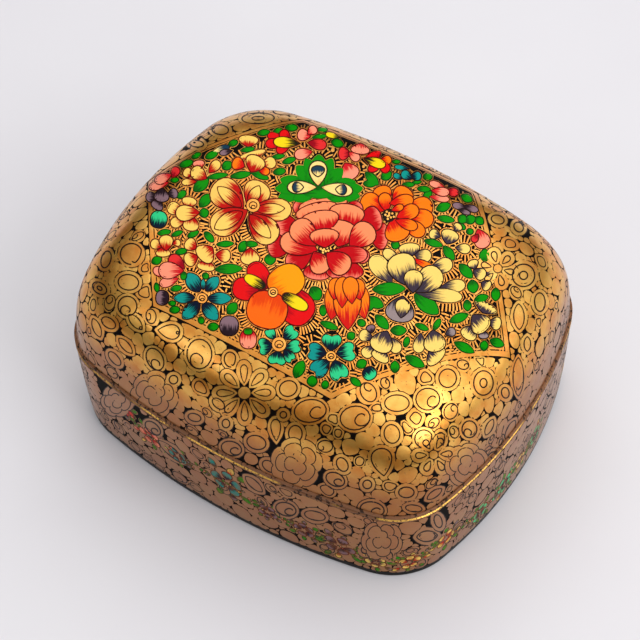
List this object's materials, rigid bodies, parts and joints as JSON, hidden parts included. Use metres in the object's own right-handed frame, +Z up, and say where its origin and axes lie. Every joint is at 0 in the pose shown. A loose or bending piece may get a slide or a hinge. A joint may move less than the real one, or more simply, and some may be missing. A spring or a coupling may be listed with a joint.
{
  "type": "papier mache box",
  "caption": "Small cushion-shaped papier-mache box with a domed lift-off lid over a strip collar, lacquered black and covered in gold and floral painting.",
  "frame": {"origin": "middle of the underside, on the surface that the box stands on", "axes": "+X along the box's length, +Y across its width, +Z up"},
  "size_m": [0.1264, 0.104, 0.0659],
  "materials": {
    "black_lacquer": "satin black lacquer on pressed paper board",
    "painted_base": "gold and coloured painting on black lacquered papier-mache, varnished",
    "painted_base_rim": "black lacquer with worn gold, varnished",
    "collar_lacquer": "satin black lacquer on a paper strip",
    "painted_lid_rim": "black lacquer with worn gold, varnished",
    "painted_lid": "gold and floral painting on black lacquered papier-mache, glossy varnish"
  },
  "bodies": {
    "base": {"bottom_board": "black_lacquer", "base_wall": "painted_base", "base_rim_band": "painted_base_rim", "collar_strip": "collar_lacquer"},
    "lid": {"lid_rim_band": "painted_lid_rim", "lid_shell": "painted_lid"}
  },
  "joints": [
    {"name": "lid_lift", "type": "slide", "parent": "base", "child": "lid", "axis": [0, 0, 1], "range_m": [0, 0.07]}
  ]
}
